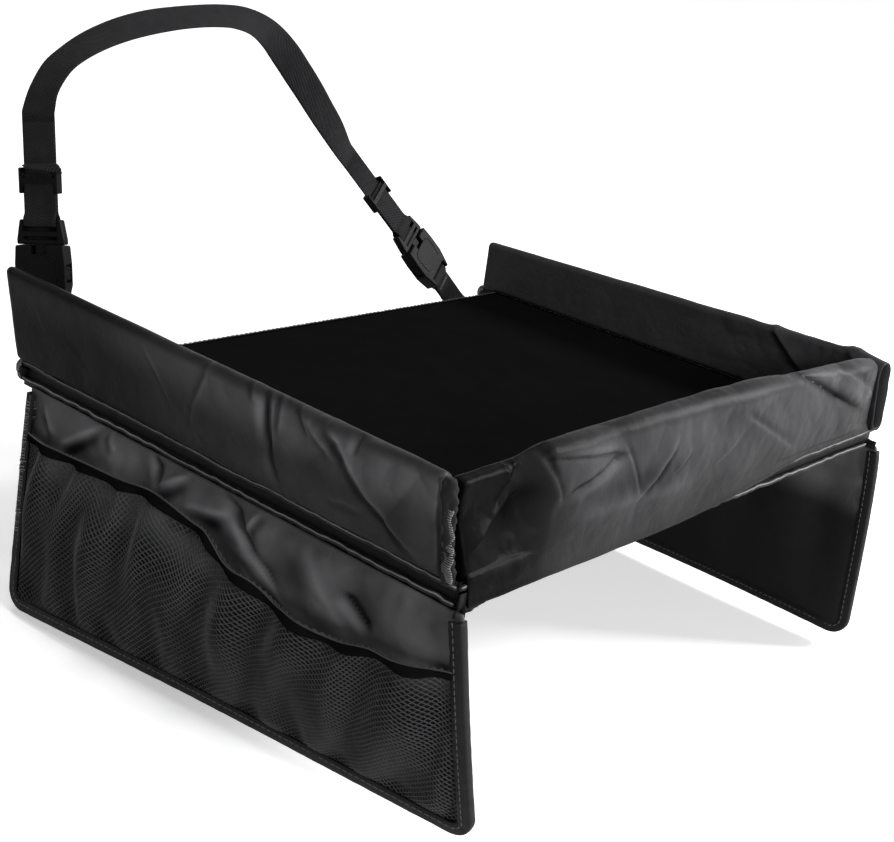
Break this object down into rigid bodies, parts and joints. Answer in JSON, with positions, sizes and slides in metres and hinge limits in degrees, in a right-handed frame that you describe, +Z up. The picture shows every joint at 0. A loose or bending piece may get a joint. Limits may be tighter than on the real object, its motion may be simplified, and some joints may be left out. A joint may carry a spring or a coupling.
{
  "type": "car seat tray table",
  "caption": "Shallow soft-walled lap tray, open at the back, with hanging mesh pocket flaps and an adjustable strap with side-release buckles.",
  "frame": {"origin": "centre of the tray underside, where it rests on the lap", "axes": "+X along the front wall to the child's left-hand side as seen from behind the front wall, +Y towards the open rear edge and the strap, +Z up"},
  "size_m": [0.4357, 0.3842, 0.3358],
  "materials": {
    "black_acetal": "black moulded plastic, semi-gloss",
    "black_elastic": "black elastic tape",
    "black_net": "black knitted mesh",
    "black_piping": "black cloth-covered piping",
    "black_webbing": "black twill webbing",
    "grey_board": "stiff hollow plastic board, hidden",
    "satin_nylon": "black satin-coated nylon cloth",
    "smooth_floor": "matt black smooth coated cloth",
    "white_foam": "light closed-cell foam, hidden"
  },
  "bodies": {
    "tray": {"base_board": "grey_board", "base_pad": "white_foam", "floor_cover": "smooth_floor", "front_edge_band": "satin_nylon", "front_lower_piping": "black_piping", "front_skirt": "satin_nylon", "front_upper_piping": "black_piping", "front_wall_foam": "white_foam", "front_wall_sleeve": "satin_nylon", "left_corner_binding": "satin_nylon", "left_edge_band": "satin_nylon", "left_lower_piping": "black_piping", "left_upper_piping": "black_piping", "left_wall_foam": "white_foam", "left_wall_sleeve": "satin_nylon", "rear_binding": "satin_nylon", "right_edge_band": "satin_nylon", "right_lower_piping": "black_piping", "right_upper_piping": "black_piping", "right_wall_foam": "white_foam", "right_wall_sleeve": "satin_nylon", "underside_lining": "satin_nylon"},
    "left_flap": {"left_flap_panel": "satin_nylon", "left_pocket_net": "black_net", "left_pocket_elastic": "black_elastic", "left_flap_hem": "satin_nylon"},
    "right_flap": {"right_flap_panel": "satin_nylon", "right_pocket_net": "black_net", "right_pocket_elastic": "black_elastic", "right_flap_hem": "satin_nylon"},
    "strap_loop": {"left_strap_tab": "black_webbing", "right_strap_tab": "black_webbing", "left_buckle_socket": "black_acetal", "right_buckle_socket": "black_acetal", "strap_arch": "black_webbing"},
    "left_plug": {"left_buckle_plug": "black_acetal", "left_strap_end": "black_webbing"},
    "right_plug": {"right_buckle_plug": "black_acetal", "right_strap_end": "black_webbing"},
    "left_latch_a": {"left_buckle_latch_a": "black_acetal"},
    "left_latch_b": {"left_buckle_latch_b": "black_acetal"},
    "right_latch_a": {"right_buckle_latch_a": "black_acetal"},
    "right_latch_b": {"right_buckle_latch_b": "black_acetal"},
    "left_slider_body": {"left_slider": "black_acetal", "left_strap_tail": "black_webbing"},
    "right_slider_body": {"right_slider": "black_acetal"}
  },
  "joints": [
    {"name": "left_flap_swing", "type": "hinge", "parent": "tray", "child": "left_flap", "pos_m": [-0.1987, 0, -0.0012], "axis": [0, 1, 0], "range_deg": [-70, 118]},
    {"name": "right_flap_swing", "type": "hinge", "parent": "tray", "child": "right_flap", "pos_m": [0.1987, 0, -0.0012], "axis": [0, -1, 0], "range_deg": [-70, 118]},
    {"name": "strap_swing", "type": "hinge", "parent": "tray", "child": "strap_loop", "pos_m": [0, 0.1453, 0.00435], "axis": [-1, 0, 0], "range_deg": [-70, 80]},
    {"name": "left_buckle_release", "type": "slide", "parent": "strap_loop", "child": "left_plug", "axis": [0.0349, 0.2078, 0.9776], "range_m": [0, 0.024], "deforming": ["strap_arch", "left_buckle_latch_a", "left_buckle_latch_b"]},
    {"name": "left_latch_press", "type": "hinge", "parent": "left_plug", "child": "left_latch_a", "pos_m": [-0.18269, 0.18322, 0.06572], "axis": [-0.913, -0.3912, 0.1158], "range_deg": [0, 8], "stiffness_Nm_per_rad": 0.4},
    {"name": "left_latch_follow", "type": "hinge", "parent": "left_plug", "child": "left_latch_b", "pos_m": [-0.17497, 0.16618, 0.06907], "axis": [0.913, 0.3912, -0.1158], "range_deg": [0, 8], "stiffness_Nm_per_rad": 0.4},
    {"name": "left_slider_travel", "type": "slide", "parent": "left_plug", "child": "left_slider_body", "axis": [0.0349, 0.2078, 0.9776], "range_m": [-0.007, 0.021], "deforming": ["strap_arch"]},
    {"name": "right_buckle_release", "type": "slide", "parent": "strap_loop", "child": "right_plug", "axis": [-0.604, 0.3284, 0.7262], "range_m": [0, 0.024], "deforming": ["strap_arch", "right_buckle_latch_a", "right_buckle_latch_b"]},
    {"name": "right_latch_press", "type": "hinge", "parent": "right_plug", "child": "right_latch_a", "pos_m": [0.12141, 0.17127, 0.0396], "axis": [0.0968, -0.8742, 0.4758], "range_deg": [0, 8], "stiffness_Nm_per_rad": 0.4},
    {"name": "right_latch_follow", "type": "hinge", "parent": "right_plug", "child": "right_latch_b", "pos_m": [0.13644, 0.17807, 0.04903], "axis": [-0.0968, 0.8742, -0.4758], "range_deg": [0, 8], "stiffness_Nm_per_rad": 0.4},
    {"name": "right_slider_travel", "type": "slide", "parent": "right_plug", "child": "right_slider_body", "axis": [-0.604, 0.3284, 0.7262], "range_m": [-0.007, 0.021], "deforming": ["strap_arch"]}
  ],
  "couplings": [
    {"joint": "left_latch_follow", "follows": "left_latch_press", "ratio": 1},
    {"joint": "right_latch_follow", "follows": "right_latch_press", "ratio": 1}
  ]
}
